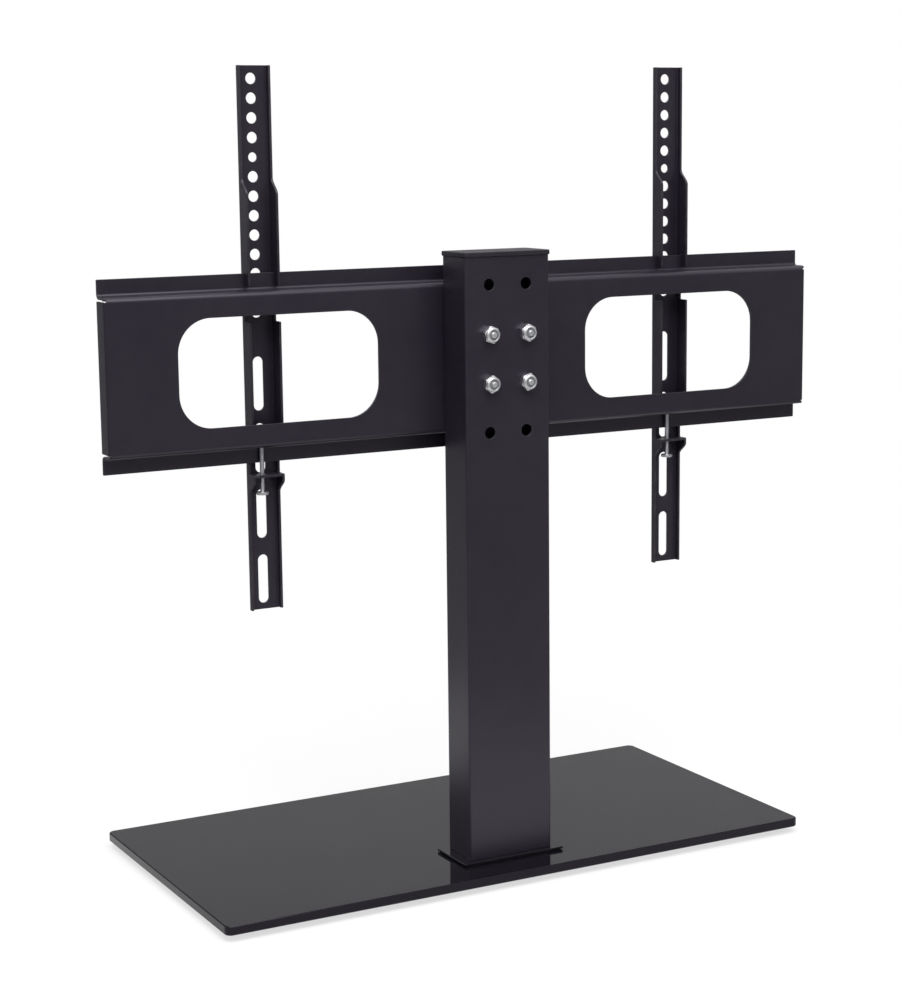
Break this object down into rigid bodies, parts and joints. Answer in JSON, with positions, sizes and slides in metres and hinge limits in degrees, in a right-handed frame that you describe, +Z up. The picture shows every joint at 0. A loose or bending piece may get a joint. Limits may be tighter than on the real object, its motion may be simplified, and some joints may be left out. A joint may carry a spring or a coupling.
{
  "type": "tv stand with mount",
  "caption": "Table-top stand: a glass base and a steel column carry a folded bracket plate with channel arms that slide along its rails and lock with screws from below.",
  "frame": {"origin": "on the table, under the middle of the glass base", "axes": "+X along the bracket plate, -Y the side the TV hangs on, +Y the rear, +Z up"},
  "size_m": [0.672, 0.28, 0.686],
  "materials": {
    "black_glass": "polished",
    "foot_rubber": "matte",
    "gasket_rubber": "matte",
    "nylon": "matte",
    "grey_nylon": "matte",
    "zinc_steel": "zinc plated",
    "weld_steel": "plain",
    "black_steel": "fine powder coat, satin",
    "black_plastic": "satin"
  },
  "bodies": {
    "stand": {"base_feet": "foot_rubber", "glass_base": "black_glass", "glass_sleeves": "nylon", "clamp_gasket": "gasket_rubber", "clamp_plate": "zinc_steel", "base_bolts": "zinc_steel", "foot_gasket": "gasket_rubber", "foot_plate": "black_steel", "foot_weld_nuts": "weld_steel", "column_tube": "black_steel", "column_cap": "black_plastic", "bracket_plate": "black_steel", "bracket_bolts": "zinc_steel", "bracket_washers": "zinc_steel", "bracket_nuts": "zinc_steel", "nut_inserts": "grey_nylon"},
    "left_arm": {"left_arm": "black_steel"},
    "right_arm": {"right_arm": "black_steel"},
    "left_screw": {"left_safety_screw": "zinc_steel"},
    "right_screw": {"right_safety_screw": "zinc_steel"}
  },
  "joints": [
    {"name": "left_arm_slide", "type": "slide", "parent": "stand", "child": "left_arm", "axis": [1, 0, 0], "range_m": [-0.12, 0.156]},
    {"name": "right_arm_slide", "type": "slide", "parent": "stand", "child": "right_arm", "axis": [1, 0, 0], "range_m": [-0.156, 0.12]},
    {"name": "left_screw_travel", "type": "slide", "parent": "left_arm", "child": "left_screw", "axis": [0, 0, 1], "range_m": [-0.014, 0]},
    {"name": "right_screw_travel", "type": "slide", "parent": "right_arm", "child": "right_screw", "axis": [0, 0, 1], "range_m": [-0.014, 0]}
  ]
}
